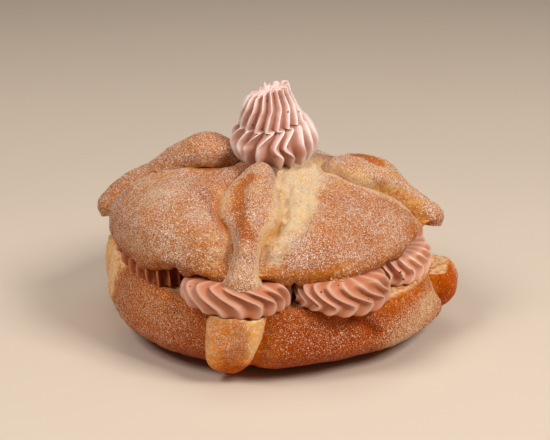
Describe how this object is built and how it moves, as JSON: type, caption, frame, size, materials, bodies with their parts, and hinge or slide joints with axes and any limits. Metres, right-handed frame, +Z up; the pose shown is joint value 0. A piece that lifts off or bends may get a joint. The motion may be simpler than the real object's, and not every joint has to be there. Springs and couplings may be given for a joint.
{
  "type": "filled pan de muerto",
  "caption": "Round sugared sweet bun with dough bones, split and filled with a ring of piped cream swirls, with a tall piped swirl on its crown.",
  "frame": {"origin": "middle of the bun's flat underside, on the surface it stands on", "axes": "+Z up through the crown, -Y towards the shown side, where one bone and its stub run down the front, and +X to the right of that side"},
  "size_m": [0.1308, 0.1261, 0.0881],
  "materials": {
    "bread_crust": "golden brown baked crust under a dense coat of sugar crystals",
    "bone_crust": "paler baked crust under sugar crystals, bare and shiny in patches",
    "piped_cream": "soft satin buttercream in sharp ridges"
  },
  "bodies": {
    "root": {"bread_base": "bread_crust", "bone_base_front": "bone_crust", "bone_base_right": "bone_crust", "bone_base_back": "bone_crust", "bone_base_left": "bone_crust", "cream_swirl_1": "piped_cream", "cream_swirl_2": "piped_cream", "cream_swirl_3": "piped_cream", "cream_swirl_4": "piped_cream", "cream_swirl_5": "piped_cream", "cream_swirl_6": "piped_cream", "cream_swirl_7": "piped_cream", "cream_swirl_8": "piped_cream", "cream_middle": "piped_cream", "bread_lid": "bread_crust", "bone_lid_front": "bone_crust", "bone_lid_right": "bone_crust", "bone_lid_back": "bone_crust", "bone_lid_left": "bone_crust", "cream_crown": "piped_cream"}
  },
  "joints": []
}
